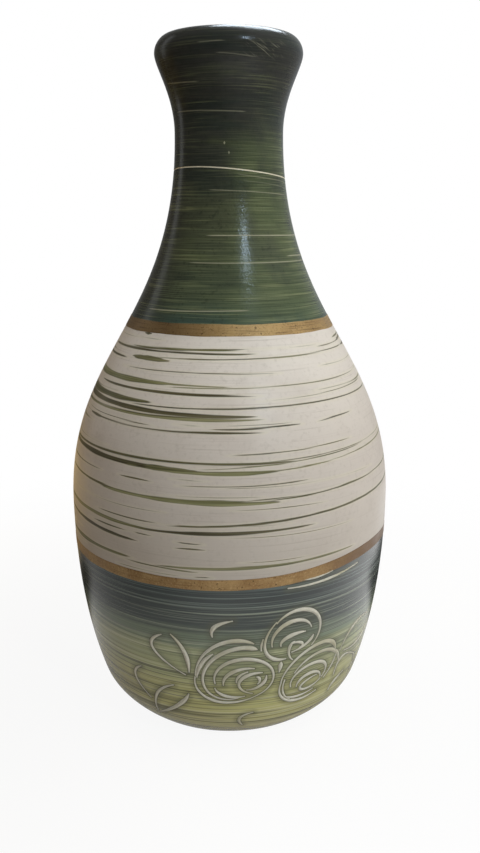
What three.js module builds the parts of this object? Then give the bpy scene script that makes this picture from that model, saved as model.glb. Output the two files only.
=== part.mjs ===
// A tall earthenware bottle vase, about 40 cm high, in millimetres with +Z up.
// The origin is the middle of the foot, on the surface that the vase stands on.
//
// The vase is a cast clay body that carries six skins on its outside and a
// watertight lining inside. Every piece is turned about the same upright axis,
// so each one is described by its half section: x is the radius, y the height.

import * as THREE from "three";

// The outside, from the foot up. Heights of the foot, heel and belly are taken
// from the floor; the neck, mouth and throat are measured down from the top.
const HEIGHT = 400;
const FOOT_RADIUS = 57;
const FOOT_SLOPE = 31; // degrees, of the heel where it leaves the foot
const HEEL_RADIUS = 81.5;
const HEEL_HEIGHT = 26.5;
const HEEL_SLOPE = 71; // degrees above level
const BELLY_RADIUS = 97;
const BELLY_HEIGHT = 135;
const NECK_RADIUS = 31.2;
const NECK_DROP = 51;
const MOUTH_RADIUS = 42;
const MOUTH_DROP = 9;
const LIP_TOP_RADIUS = 35.5;
const THROAT_DROP = 22;

// How far each curve runs along its tangent before it starts to bend.
const FOOT_SWEEP = 8;
const HEEL_SWEEP_BELOW = 13;
const HEEL_SWEEP_ABOVE = 42;
const BELLY_SWEEP_BELOW = 25;
const BELLY_SWEEP_ABOVE = 90;
const NECK_SWEEP_BELOW = 107;
const NECK_SWEEP_ABOVE = 20.5;
const MOUTH_SWEEP_BELOW = 7;
const MOUTH_SWEEP_ABOVE = 5;
const LIP_SWEEP_OUT = 2.5;
const LIP_SWEEP_IN = 4;
const THROAT_SWEEP = 9;

// The clay.
const WALL = 6.5;
const FLOOR_HEIGHT = 10;
const FOOT_RING_WIDTH = 11;
const FOOT_RECESS = 2.5;

// The skins, and the clearances that keep two pieces from sharing a face.
const COAT_THICKNESS = 0.8;
const GOLD_THICKNESS = 0.9;
const LINING_THICKNESS = 0.6;
const SEAT_GAP = 0.1; // between a skin and the clay that carries it
const SEAM_GAP = 0.2; // between two skins that meet edge to edge

// Where the skins begin and end, as heights on the outside.
const GLAZE_LINE = 3; // the foot below it is wiped bare
const LOWER_BAND_HEIGHT = 107.8;
const LOWER_BAND_WIDTH = 6.4;
const UPPER_BAND_HEIGHT = 239.8;
const UPPER_BAND_WIDTH = 5.8;
const NECK_LINE_HEIGHT = 327.2;
const NECK_LINE_WIDTH = 1.1; // a scratched ring that parts the two green coats

// Facets: turns of the lathe, and even steps along each stretch of the skin from the foot up.
const TURN_FACETS = 36;
const STRETCH_STEPS = [3, 5, 14, 5, 3, 3];
const SLIVER_SHARE = 0.03; // of a stretch; a step as short as this is left out
const SEARCH_ROUNDS = 50;

// The colour, roughness and metalness of each finish.
const CLAY = { color: 0xcdb9a3, roughness: 0.85, metalness: 0 };
const CLEAR_LINING = { color: 0xb9a68c, roughness: 0.2, metalness: 0 };
const DARK_GREEN = { color: 0x323a28, roughness: 0.25, metalness: 0 };
const CREAM = { color: 0xcbc2b5, roughness: 0.6, metalness: 0 };
const GOLD = { color: 0xa07a45, roughness: 0.4, metalness: 0.8 };
const MEADOW_GREEN = { color: 0x7d8058, roughness: 0.3, metalness: 0 };

const point = (radius, height) => new THREE.Vector2(radius, height);

// A unit vector that rises at the given angle.
function rising(degrees) {
  const angle = THREE.MathUtils.degToRad(degrees);
  return point(Math.cos(angle), Math.sin(angle));
}

// Where one stretch of the outside hands over to the next.
const foot = point(FOOT_RADIUS, 0);
const heel = point(HEEL_RADIUS, HEEL_HEIGHT);
const belly = point(BELLY_RADIUS, BELLY_HEIGHT);
const neck = point(NECK_RADIUS, HEIGHT - NECK_DROP);
const mouth = point(MOUTH_RADIUS, HEIGHT - MOUTH_DROP);
const lipTop = point(LIP_TOP_RADIUS, HEIGHT);

const up = rising(90);
const outwards = rising(0);

// One stretch: it leaves one point along a direction and reaches the next along another.
function stretch(from, leaving, leaveBy, to, arriving, arriveBy) {
  return new THREE.CubicBezierCurve(
    from,
    from.clone().addScaledVector(leaving, leaveBy),
    to.clone().addScaledVector(arriving, -arriveBy),
    to,
  );
}

// The outside of the vase from the foot to the top of the lip.
const flank = [
  stretch(foot, rising(FOOT_SLOPE), FOOT_SWEEP, heel, rising(HEEL_SLOPE), HEEL_SWEEP_BELOW),
  stretch(heel, rising(HEEL_SLOPE), HEEL_SWEEP_ABOVE, belly, up, BELLY_SWEEP_BELOW),
  stretch(belly, up, BELLY_SWEEP_ABOVE, neck, up, NECK_SWEEP_BELOW),
  stretch(neck, up, NECK_SWEEP_ABOVE, mouth, up, MOUTH_SWEEP_BELOW),
  stretch(mouth, up, MOUTH_SWEEP_ABOVE, lipTop, outwards, -LIP_SWEEP_OUT),
];

// A place on a chain of stretches is a number: 2.5 is halfway along the third one.
const BELLY_PLACE = 2;

function pick(chain, place) {
  const index = Math.min(Math.floor(place), chain.length - 1);
  return { curve: chain[index], share: place - index };
}

// The point at a place, sunk into the clay by a depth square to the surface.
function sunk(chain, place, depth) {
  const { curve, share } = pick(chain, place);
  const along = curve.getTangent(share);
  return curve.getPoint(share).add(point(-along.y, along.x).multiplyScalar(depth));
}

// The place, between two others, where a rising measure reaches a wanted value.
function placeWhere(measure, wanted, from, to) {
  let low = from;
  let high = to;
  for (let round = 0; round < SEARCH_ROUNDS; round += 1) {
    const middle = (low + high) / 2;
    if (measure(middle) < wanted) low = middle;
    else high = middle;
  }
  return (low + high) / 2;
}

const placeAtHeight = (height) =>
  placeWhere((place) => sunk(flank, place, 0).y, height, 0, flank.length);

// The places where the facets of the skin meet.
const knots = STRETCH_STEPS.flatMap((steps, index) =>
  Array.from({ length: steps }, (_, step) => index + step / steps),
);

// The places from one end of a run to the other, with the knots that lie between them.
function run(from, to) {
  const between = knots.filter((knot) => knot > from + SLIVER_SHARE && knot < to - SLIVER_SHARE);
  return [from, ...between, to];
}

// Depths below the finished outside.
const CLAY_DEPTH = COAT_THICKNESS + SEAT_GAP;
const HOLLOW_DEPTH = CLAY_DEPTH + WALL;
const LINING_BACK_DEPTH = HOLLOW_DEPTH + SEAT_GAP;
const LINING_FACE_DEPTH = LINING_BACK_DEPTH + LINING_THICKNESS;

// The lip rolls over its top and runs down into the throat, where the green coat
// lies on the inside wall as thick as it does outside.
const throatPlace = placeAtHeight(HEIGHT - THROAT_DROP);
const throat = sunk(flank, throatPlace, HOLLOW_DEPTH + CLAY_DEPTH);
const throatPick = pick(flank, throatPlace);
const downTheThroat = throatPick.curve.getTangent(throatPick.share).negate();
const skin = [
  ...flank,
  stretch(lipTop, outwards, -LIP_SWEEP_IN, throat, downTheThroat, THROAT_SWEEP),
];

// The run of skin that each coat or band covers, from the foot up.
const lowerBandTop = LOWER_BAND_HEIGHT + LOWER_BAND_WIDTH;
const upperBandTop = UPPER_BAND_HEIGHT + UPPER_BAND_WIDTH;
const neckLineTop = NECK_LINE_HEIGHT + NECK_LINE_WIDTH;

const betweenSeams = (bottom, top) =>
  run(placeAtHeight(bottom + SEAM_GAP / 2), placeAtHeight(top - SEAM_GAP / 2));

const covered = {
  base_coat: betweenSeams(GLAZE_LINE, LOWER_BAND_HEIGHT),
  lower_gold_band: betweenSeams(LOWER_BAND_HEIGHT, lowerBandTop),
  belly_coat: betweenSeams(lowerBandTop, UPPER_BAND_HEIGHT),
  upper_gold_band: betweenSeams(UPPER_BAND_HEIGHT, upperBandTop),
  neck_coat: betweenSeams(upperBandTop, NECK_LINE_HEIGHT),
  rim_coat: run(placeAtHeight(neckLineTop), skin.length),
};

// The inside wall goes down from the throat to the floor.
const floorPlace = placeWhere(
  (place) => sunk(flank, place, HOLLOW_DEPTH).y,
  FLOOR_HEIGHT,
  0,
  BELLY_PLACE,
);
const insidePlaces = run(floorPlace, throatPlace).reverse();

// A solid turned from a half section, stood upright.
function turned(name, section, finish) {
  const geometry = new THREE.LatheGeometry(section, TURN_FACETS).rotateX(Math.PI / 2);
  const mesh = new THREE.Mesh(geometry, new THREE.MeshStandardMaterial(finish));
  mesh.name = name;
  return mesh;
}

// The cast body: a recessed foot, the wall under the coats, the lip, the inside wall and the floor.
function clayBody() {
  const ringInside = FOOT_RADIUS - FOOT_RING_WIDTH;
  const ringOutside = FOOT_RADIUS - CLAY_DEPTH;
  const underCoats = Object.values(covered).flat();
  const section = [
    point(0, FOOT_RECESS),
    point(ringInside, FOOT_RECESS),
    point(ringInside, 0),
    point(ringOutside, 0),
    ...underCoats.map((place) => sunk(skin, place, CLAY_DEPTH)),
    ...insidePlaces.map((place) => sunk(flank, place, HOLLOW_DEPTH)),
  ];
  section.push(point(0, section.at(-1).y));
  return turned("clay_body", section, CLAY);
}

// The glaze that makes the inside hold water: a thin cup from the throat down to the floor.
function innerGlaze() {
  const top = placeAtHeight(HEIGHT - THROAT_DROP - SEAM_GAP);
  const lined = [top, ...insidePlaces.slice(1)];
  const back = lined.map((place) => sunk(flank, place, LINING_BACK_DEPTH)).reverse();
  const face = lined.map((place) => sunk(flank, place, LINING_FACE_DEPTH));
  const section = [point(0, back[0].y), ...back, ...face, point(0, face.at(-1).y)];
  return turned("inner_glaze", section, CLEAR_LINING);
}

// A coat or band: its back against the clay, and its face, which may stand proud of the skin.
function coat(name, thickness, finish) {
  const proud = thickness - COAT_THICKNESS;
  const back = covered[name].map((place) => sunk(skin, place, COAT_THICKNESS));
  const face = covered[name].map((place) => sunk(skin, place, -proud));
  return turned(name, [...face, ...back.reverse(), face[0]], finish);
}

const vase = new THREE.Group();
vase.add(
  clayBody(),
  innerGlaze(),
  coat("base_coat", COAT_THICKNESS, MEADOW_GREEN),
  coat("lower_gold_band", GOLD_THICKNESS, GOLD),
  coat("belly_coat", COAT_THICKNESS, CREAM),
  coat("upper_gold_band", GOLD_THICKNESS, GOLD),
  coat("neck_coat", COAT_THICKNESS, DARK_GREEN),
  coat("rim_coat", COAT_THICKNESS, DARK_GREEN),
);

export default vase;
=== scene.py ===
import math

import bmesh
import bpy
import numpy as np
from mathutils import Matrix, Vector
from mathutils.geometry import interpolate_bezier
from mathutils.kdtree import KDTree


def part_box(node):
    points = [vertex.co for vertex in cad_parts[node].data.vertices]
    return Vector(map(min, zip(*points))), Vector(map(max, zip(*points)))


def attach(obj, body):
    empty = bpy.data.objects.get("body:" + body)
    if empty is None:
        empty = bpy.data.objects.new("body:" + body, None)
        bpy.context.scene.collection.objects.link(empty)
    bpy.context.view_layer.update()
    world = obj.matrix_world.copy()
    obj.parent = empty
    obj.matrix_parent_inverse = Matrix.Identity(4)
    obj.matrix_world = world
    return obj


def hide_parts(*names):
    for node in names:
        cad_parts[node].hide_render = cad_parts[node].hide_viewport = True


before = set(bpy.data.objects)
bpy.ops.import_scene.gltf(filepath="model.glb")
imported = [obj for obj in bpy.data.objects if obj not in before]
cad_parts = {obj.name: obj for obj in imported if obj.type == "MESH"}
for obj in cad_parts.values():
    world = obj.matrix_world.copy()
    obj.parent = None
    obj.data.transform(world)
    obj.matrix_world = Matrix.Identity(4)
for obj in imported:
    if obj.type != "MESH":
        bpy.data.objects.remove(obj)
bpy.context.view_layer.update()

# Camera
# The vase is seen from close by and a little above its shoulder, tilted down,
# with the vase standing slightly left of the middle of the picture.
mm = 0.001  # the frame is in metres
EYE_DISTANCE = 533.7 * mm
EYE_HEIGHT = 301.6 * mm
LOOKING_DOWN = math.radians(13.3)
LOOKING_RIGHT = math.radians(0.687)
LENS = 37.29  # millimetres
SENSOR = 36.0  # millimetres, along the tall side of the picture
NEAREST_SEEN = 10 * mm


def new_object(name, data):
    """Puts the camera, a lamp or a mesh into the scene."""
    made = bpy.data.objects.new(name, data)
    bpy.context.scene.collection.objects.link(made)
    return made


camera = new_object("camera", bpy.data.cameras.new("camera"))
camera.data.sensor_width = SENSOR
camera.data.lens = LENS
camera.data.clip_start = NEAREST_SEEN
camera.location = (0.0, -EYE_DISTANCE, EYE_HEIGHT)
camera.rotation_euler = (math.pi / 2 - LOOKING_DOWN, 0.0, -LOOKING_RIGHT)
bpy.context.scene.camera = camera

# Clay body
# The vase itself is pale earthenware, slip-cast in one piece with its foot ring, floor, wall and lip.
# It is trimmed on the wheel, and its bare foot shows below the glaze.
VASE_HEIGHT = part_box("rim_coat")[1].z
BELLY_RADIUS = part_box("belly_coat")[1].x
MOUTH_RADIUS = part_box("rim_coat")[1].x
GLAZE_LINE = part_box("base_coat")[0].z
FOOT_RADIUS = 57 * mm
HEEL_RADIUS, HEEL_HEIGHT = 81.5 * mm, 26.5 * mm
BELLY_HEIGHT = 135 * mm
NECK_RADIUS, NECK_DROP = 31.2 * mm, 51 * mm
MOUTH_DROP = 9 * mm
LIP_TOP_RADIUS = 35.5 * mm
THROAT_RADIUS, THROAT_DROP = 29.9 * mm, 20.3 * mm
UP, INWARDS = 90, 180  # the way that the outline goes, in degrees above level
FOOT_SLOPE, HEEL_SLOPE, THROAT_SLOPE = 31, 71, 249
WALL = 6.5 * mm
FLOOR_HEIGHT = 10 * mm
FLOOR_FILLET = 1.0 * mm
FOOT_RING_WIDTH = 11 * mm
FOOT_RECESS = 2.5 * mm
FOOT_ROUNDING = 1.2 * mm
RING_EDGE_WIDTH, RING_EDGE_HEIGHT = 0.5 * mm, 0.15 * mm
COAT_THICKNESS = 0.8 * mm
SEAT_GAP = 0.1 * mm  # between a coat and the clay under it
SEAM_GAP = 0.2 * mm  # between two coats that meet
HOLLOW_DROP = 22 * mm  # down the outside: level with the end of the green throat
HOLLOW_FOOT = 16.5 * mm  # up the outside: opposite the foot of the inside wall
POINTS_PER_STRETCH = 240
COAT_ROWS, HOLLOW_ROWS = 200, 110
CLAY_COLUMNS = 144
CROWDING = 5  # an odd power; the higher, the more suddenly the columns spread out at the back

# How far, in millimetres, the outline follows its slope below and above each of its points.
FOOT_SWEEP = 8
HEEL_SWEEPS = 13, 42
BELLY_SWEEPS = 25, 90
NECK_SWEEPS = 107, 20.5
MOUTH_SWEEPS = 7, 5
LIP_SWEEPS = 2.5, 4
THROAT_SWEEP = 9


def rising(degrees):
    """A unit direction in the half section, where x is the radius and y the height."""
    return Vector((math.cos(math.radians(degrees)), math.sin(math.radians(degrees))))


def stretch(start, leaving, leave_by, end, arriving, arrive_by):
    """One smooth stretch of the outline, without its first point."""
    start, end = Vector(start), Vector(end)
    leave = start + rising(leaving) * leave_by * mm
    arrive = end - rising(arriving) * arrive_by * mm
    return [tuple(p) for p in interpolate_bezier(start, leave, arrive, end, POINTS_PER_STRETCH)[1:]]


foot = (FOOT_RADIUS, 0.0)
heel = (HEEL_RADIUS, HEEL_HEIGHT)
belly = (BELLY_RADIUS, BELLY_HEIGHT)
neck = (NECK_RADIUS, VASE_HEIGHT - NECK_DROP)
mouth = (MOUTH_RADIUS, VASE_HEIGHT - MOUTH_DROP)
lip_top = (LIP_TOP_RADIUS, VASE_HEIGHT)
throat = (THROAT_RADIUS, VASE_HEIGHT - THROAT_DROP)
flank = [
    foot,
    *stretch(foot, FOOT_SLOPE, FOOT_SWEEP, heel, HEEL_SLOPE, HEEL_SWEEPS[0]),
    *stretch(heel, HEEL_SLOPE, HEEL_SWEEPS[1], belly, UP, BELLY_SWEEPS[0]),
    *stretch(belly, UP, BELLY_SWEEPS[1], neck, UP, NECK_SWEEPS[0]),
    *stretch(neck, UP, NECK_SWEEPS[1], mouth, UP, MOUTH_SWEEPS[0]),
    *stretch(mouth, UP, MOUTH_SWEEPS[1], lip_top, INWARDS, LIP_SWEEPS[0]),
]
over_the_lip = stretch(lip_top, INWARDS, LIP_SWEEPS[1], throat, THROAT_SLOPE, THROAT_SWEEP)
outline = np.array([*flank, *over_the_lip])
lengths = np.concatenate([[0.0], np.cumsum(np.linalg.norm(np.diff(outline, axis=0), axis=1))])
tangents = np.gradient(outline, lengths, axis=0)
tangents /= np.linalg.norm(tangents, axis=1)[:, None]


def length_at(height):
    """How far along the outline, from the foot, a height on the outside lies."""
    return float(np.interp(height, outline[: len(flank), 1], lengths[: len(flank)]))


def along_skin(places, values):
    """Values that belong to the outline's points, at places between them."""
    return np.stack([np.interp(places, lengths, values[:, i]) for i in (0, 1)], axis=1)


def skin(places, depth=0.0):
    """Points of the half section at places along the outline, sunk under the surface by a depth."""
    onward = along_skin(places, tangents)
    outward = np.stack([onward[:, 1], -onward[:, 0]], axis=1)
    return along_skin(places, outline) - outward * np.reshape(depth, (-1, 1))


def set_input(socket, value):
    """Links a socket to another node's output, or gives it a plain value."""
    if isinstance(value, bpy.types.NodeSocket):
        value.id_data.links.new(value, socket)
    else:
        socket.default_value = value


def add_node(tree, kind, inputs=None, **settings):
    """A new node with its settings, and its inputs by name."""
    made = tree.nodes.new(kind)
    for name, value in settings.items():
        setattr(made, name, value)
    for name, value in (inputs or {}).items():
        set_input(made.inputs[name], value)
    return made


def tree_of(values):
    """The node tree that some values come from, of which at least one is a node's output."""
    return next(v.id_data for v in values if isinstance(v, bpy.types.NodeSocket))


def filled_node(kind, values, **settings):
    """A new node's outputs, with its first inputs filled in order by numbers or other nodes' outputs."""
    made = add_node(tree_of(values), kind, **settings)
    for socket, value in zip(made.inputs, values):
        set_input(socket, value)
    return made.outputs


def calc(operation, *values):
    """A sum in a node tree."""
    return filled_node("ShaderNodeMath", values, operation=operation)[0]


def times(first, *others):
    """The product of two or more values in a node tree."""
    for other in others:
        first = calc("MULTIPLY", first, other)
    return first


def vector_calc(operation, *values):
    """A sum of vectors; it gives a number where the operation does."""
    outputs = filled_node("ShaderNodeVectorMath", values, operation=operation)
    return outputs["Value" if operation in ("DISTANCE", "DOT_PRODUCT") else "Vector"]


def scaled(vector, factor):
    inputs = {"Vector": vector, "Scale": factor}
    return add_node(vector.id_data, "ShaderNodeVectorMath", inputs, operation="SCALE").outputs["Vector"]


def combined(x, y, z):
    return filled_node("ShaderNodeCombineXYZ", (x, y, z))[0]


def parted(vector):
    """The X, Y and Z of a vector, by name."""
    return add_node(vector.id_data, "ShaderNodeSeparateXYZ", {"Vector": vector}).outputs


def ease(value, start, end, first=0.0, last=1.0):
    """Goes smoothly from first to last while a value goes from start to end."""
    values = value, start, end, first, last
    return filled_node("ShaderNodeMapRange", values, interpolation_type="SMOOTHSTEP")[0]


def noise(vector, scale=1.0, detail=2.0, roughness=0.5):
    inputs = {"Vector": vector, "Scale": scale, "Detail": detail, "Roughness": roughness}
    return add_node(vector.id_data, "ShaderNodeTexNoise", inputs).outputs[0]


def new_tree(name, sockets):
    """A Geometry Nodes tree with named inputs, and those inputs as outputs to link from."""
    tree = bpy.data.node_groups.new(name, "GeometryNodeTree")
    for label, kind in sockets.items():
        tree.interface.new_socket(label, in_out="INPUT", socket_type="NodeSocket" + kind)
    tree.interface.new_socket("Geometry", in_out="OUTPUT", socket_type="NodeSocketGeometry")
    return tree, add_node(tree, "NodeGroupInput").outputs


def end_tree(tree, geometry, material):
    """Every tree ends the same way: real faces, smooth, in the piece's own finish."""
    real = add_node(tree, "GeometryNodeRealizeInstances", {"Geometry": geometry})
    smooth = add_node(tree, "GeometryNodeSetShadeSmooth", {"Geometry": real.outputs[0]})
    inputs = {"Geometry": smooth.outputs[0], "Material": material}
    finished = add_node(tree, "GeometryNodeSetMaterial", inputs)
    add_node(tree, "NodeGroupOutput", {"Geometry": finished.outputs[0]})


def read_attribute(tree, name, kind="FLOAT"):
    """What the points of a geometry keep under a name."""
    inputs = {"Name": name}
    return add_node(tree, "GeometryNodeInputNamedAttribute", inputs, data_type=kind).outputs[0]


def keep_attribute(geometry, name, value):
    """Keeps a number on each point of a geometry, for its finish to read."""
    inputs = {"Geometry": geometry, "Name": name, "Value": value}
    settings = {"data_type": "FLOAT", "domain": "POINT"}
    return add_node(geometry.id_data, "GeometryNodeStoreNamedAttribute", inputs, **settings).outputs[0]


def sampled(geometry, kind, value, index):
    """A value as it is at one point of another geometry."""
    inputs = {"Geometry": geometry, "Value": value, "Index": index}
    return add_node(geometry.id_data, "GeometryNodeSampleIndex", inputs, data_type=kind).outputs[0]


# The wheel turns a half section into a closed skin. Columns can crowd towards one side, a lift raises
# part of the section on one side as a hand does, and brush ridges run round what shows.
WANDER_WAVES, RIDGE_WAVES = 2.2, 2.5  # the higher, the more often the hand wanders on the way round
SAME_POINT = 0.001 * mm
wheel, given = new_tree("turn_on_the_wheel", {
    "Section": "Geometry",
    "Columns": "Int",
    "Dense Side": "Float",
    "Dense Spacing": "Float",
    "Lift": "Float",
    "Lift Side": "Float",
    "Lift Power": "Float",
    "Wander": "Float",
    "Ridge Depth": "Float",
    "Ridges Per Metre": "Float",
    "Seed": "Float",
    "Material": "Material",
})
section = given["Section"]
rows = add_node(wheel, "GeometryNodeAttributeDomainSize", {"Geometry": section}).outputs["Point Count"]
sheet = add_node(wheel, "GeometryNodeMeshGrid", {
    "Size X": 1.0,
    "Size Y": 1.0,
    "Vertices X": rows,
    "Vertices Y": calc("ADD", given["Columns"], 1),
}).outputs["Mesh"]
position = add_node(wheel, "GeometryNodeInputPosition").outputs[0]
across = parted(position)
row = calc("ROUND", times(calc("ADD", across["X"], 0.5), calc("SUBTRACT", rows, 1)))


def of_row(name, kind="FLOAT"):
    """What the half section keeps under a name, for the row that a point of the skin is in."""
    return sampled(section, kind, read_attribute(wheel, name, kind), row)


round_share = times(across["Y"], 2)
dense = times(round_share, given["Dense Spacing"])
loose = times(calc("POWER", round_share, CROWDING), calc("SUBTRACT", 1, given["Dense Spacing"]))
angle = calc("ADD", times(calc("ADD", dense, loose), math.pi), given["Dense Side"])
facing = combined(calc("SINE", angle), times(calc("COSINE", angle), -1), 0)
station = parted(sampled(section, "FLOAT_VECTOR", position, row))
onward = parted(of_row("onward", "FLOAT_VECTOR"))
bearing = calc("COSINE", calc("SUBTRACT", angle, given["Lift Side"]))
lift_share = calc("POWER", times(calc("ADD", bearing, 1), 0.5), given["Lift Power"])
lift = times(lift_share, given["Lift"], of_row("lifts"))
wander_weight = of_row("wanders")
wander_place = vector_calc("ADD", scaled(facing, WANDER_WAVES), combined(given["Seed"], wander_weight, 0))
wander_noise = calc("SUBTRACT", noise(wander_place, detail=3.0), 0.5)
wander = times(wander_noise, given["Wander"], calc("ABSOLUTE", wander_weight))
slide = calc("ADD", lift, wander)
radius = calc("ADD", station["X"], times(onward["X"], slide))
level = calc("ADD", station["Z"], times(onward["Z"], slide))
ridge_level = times(level, given["Ridges Per Metre"])
ridge_place = vector_calc("ADD", scaled(facing, RIDGE_WAVES), combined(given["Seed"], 0, ridge_level))
ridge_noise = calc("SUBTRACT", noise(ridge_place, detail=3.0), 0.5)
ridge = times(ridge_noise, given["Ridge Depth"], of_row("shows"))
radius = calc("ADD", radius, times(onward["Z"], ridge))
level = calc("SUBTRACT", level, times(onward["X"], ridge))
turned_place = vector_calc("ADD", scaled(facing, radius), combined(0, 0, level))
marked = keep_attribute(sheet, "shows", of_row("shows"))
shaped = add_node(wheel, "GeometryNodeSetPosition", {"Geometry": marked, "Position": turned_place})
closed = add_node(wheel, "GeometryNodeMergeByDistance", {
    "Geometry": shaped.outputs[0],
    "Distance": SAME_POINT,
})
end_tree(wheel, closed.outputs[0], given["Material"])


def run_modifier(piece, tree, inputs):
    """Runs a tree on a piece, with its inputs set by identifier, and keeps the result as a plain mesh."""
    modifier = piece.modifiers.new(tree.name, "NODES")
    modifier.node_group = tree
    for socket in tree.interface.items_tree:
        if socket.in_out == "INPUT" and socket.name in inputs:
            modifier[socket.identifier] = inputs[socket.name]
    bpy.context.view_layer.update()
    evaluated = piece.evaluated_get(bpy.context.evaluated_depsgraph_get())
    mesh = bpy.data.meshes.new_from_object(evaluated)
    piece.modifiers.remove(modifier)
    piece.data = mesh
    mesh.name = piece.name


def write_attribute(mesh, name, values):
    """Keeps a number for each point of a mesh."""
    made = mesh.attributes.new(name, "FLOAT", "POINT")
    made.data.foreach_set("value", np.ascontiguousarray(values, np.float32))


def turn(name, points, material, shows=0.0, lifts=0.0, wanders=0.0, onward=None, **settings):
    """A piece turned from a half section of radii and heights, whose ends meet or lie on the axis."""
    mesh = bpy.data.meshes.new(name)
    count = len(points)
    mesh.from_pydata([(r, 0.0, z) for r, z in points], [(i, i + 1) for i in range(count - 1)], [])
    for label, value in (("shows", shows), ("lifts", lifts), ("wanders", wanders)):
        write_attribute(mesh, label, np.broadcast_to(value, count))
    flat = np.zeros((count, 3), np.float32)
    if onward is not None:
        flat[:, [0, 2]] = onward
    mesh.attributes.new("onward", "FLOAT_VECTOR", "POINT").data.foreach_set("vector", flat.ravel())
    piece = new_object(name, mesh)
    inputs = {
        "Dense Side": 0.0, "Dense Spacing": 1.0, "Lift": 0.0, "Lift Side": 0.0, "Lift Power": 1.0,
        "Wander": 0.0, "Ridge Depth": 0.0, "Ridges Per Metre": 0.0, "Seed": 0.0, "Material": material,
    }
    for label, value in settings.items():
        inputs[label.replace("_", " ").title()] = value
    run_modifier(piece, wheel, inputs)
    return piece


def srgb(red, green, blue):
    """A colour as it is seen on a screen, from 0 to 255, turned into light."""
    share = np.array([red, green, blue]) / 255
    light = np.where(share <= 0.04045, share / 12.92, ((share + 0.055) / 1.055) ** 2.4)
    return (*light.tolist(), 1.0)


def new_finish(name, **constants):
    """A material with its shader; what is the same all over is set on the shader's own sockets."""
    material = bpy.data.materials.new(name)
    material.use_nodes = True
    shader = material.node_tree.nodes["Principled BSDF"]
    for label, value in constants.items():
        shader.inputs[label.replace("_", " ")].default_value = value
    return material, material.node_tree, shader


def wheel_place(tree):
    """Where a point lies on the wheel: its place, the side of the axis that it faces, and its height."""
    place = add_node(tree, "ShaderNodeTexCoord").outputs["Object"]
    parts = parted(place)
    side = vector_calc("NORMALIZE", combined(parts["X"], parts["Y"], 0))
    return place, side, parts["Z"]


def brush_lines(side, height, around, per_metre, seed, detail=2.0, roughness=0.5):
    """Marks that a brush leaves on a turning pot: long round the axis, fine up and down."""
    lines = combined(seed, 0, times(height, per_metre))
    return noise(vector_calc("ADD", scaled(side, around), lines), detail=detail, roughness=roughness)


def paint(under, over, share):
    """One colour laid over another by a share from 0 to 1."""
    made = add_node(tree_of((under, over, share)), "ShaderNodeMix", data_type="RGBA")
    for socket, value in zip((made.inputs[0], made.inputs[6], made.inputs[7]), (share, under, over)):
        set_input(socket, value)
    return made.outputs[2]


def bumped(shader, height, distance):
    """Roughens a finish; the distance is how far a height of 1 stands up."""
    made = add_node(shader.id_data, "ShaderNodeBump", {"Height": height, "Distance": distance})
    set_input(shader.inputs["Normal"], made.outputs[0])


DARK_CLAY = srgb(196, 176, 152)
PALE_CLAY = srgb(216, 200, 178)
TRIMMED_CLAY = srgb(176, 154, 128)
fired_clay, tree, shader = new_finish("fired_clay", Roughness=0.85)
place, side, height = wheel_place(tree)
grain = noise(place, scale=900.0, detail=4.0, roughness=0.6)
trimming = brush_lines(side, height, around=1.5, per_metre=900.0, seed=3.0)
clay = paint(DARK_CLAY, PALE_CLAY, grain)
clay = paint(clay, TRIMMED_CLAY, ease(trimming, 0.52, 0.75, 0.0, 0.5))
set_input(shader.inputs["Base Color"], clay)
bumped(shader, calc("ADD", grain, trimming), 0.15 * mm)

coat_seat = COAT_THICKNESS + SEAT_GAP
under_coats = np.linspace(length_at(GLAZE_LINE), lengths[-1], COAT_ROWS)
hollow = np.linspace(length_at(VASE_HEIGHT - HOLLOW_DROP), length_at(HOLLOW_FOOT), HOLLOW_ROWS)
inside_wall = skin(hollow, coat_seat + WALL)
inside_wall = inside_wall[inside_wall[:, 1] > FLOOR_HEIGHT]
ring_inside, ring_outside = FOOT_RADIUS - FOOT_RING_WIDTH, FOOT_RADIUS - coat_seat
foot_rounding = [
    (ring_outside - FOOT_ROUNDING + FOOT_ROUNDING * math.sin(a), FOOT_ROUNDING - FOOT_ROUNDING * math.cos(a))
    for a in np.linspace(0.0, math.pi / 3, 6)
]
clay_section = [
    (0.0, FOOT_RECESS),
    (ring_inside - 2 * FOOT_RECESS, FOOT_RECESS),
    (ring_inside - FOOT_RECESS / 2, FOOT_RECESS / 2),
    (ring_inside, RING_EDGE_HEIGHT),
    (ring_inside + RING_EDGE_WIDTH, 0.0),
    *foot_rounding,
    *skin(under_coats, coat_seat),
    *inside_wall,
    (inside_wall[-1][0] - FLOOR_FILLET, FLOOR_HEIGHT),
    (0.0, FLOOR_HEIGHT),
]
clay_body = turn("clay_body_turned", clay_section, fired_clay, columns=CLAY_COLUMNS)
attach(clay_body, "root")
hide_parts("clay_body")

# Inner glaze
# A clear, slightly amber glaze, poured in and swilled round so that the fired clay holds water.
# It runs from under the green throat down over the whole floor.
LINING_THICKNESS = 0.6 * mm
THIN_AMBER = srgb(196, 172, 138)
THICK_AMBER = srgb(152, 122, 84)
IRON_SPECK = srgb(110, 84, 54)
clear_glaze, tree, shader = new_finish("clear_glaze", Roughness=0.16, Coat_Weight=0.4, Coat_Roughness=0.08)
place, side, height = wheel_place(tree)
runs = brush_lines(side, height, around=9.0, per_metre=14.0, seed=8.0, detail=4.0)
speckle = noise(place, scale=600.0, detail=2.0)
amber = paint(THIN_AMBER, THICK_AMBER, ease(runs, 0.35, 0.7))
amber = paint(amber, IRON_SPECK, ease(speckle, 0.66, 0.74, 0.0, 0.6))
set_input(shader.inputs["Base Color"], amber)
bumped(shader, runs, 0.5 * mm)

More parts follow.
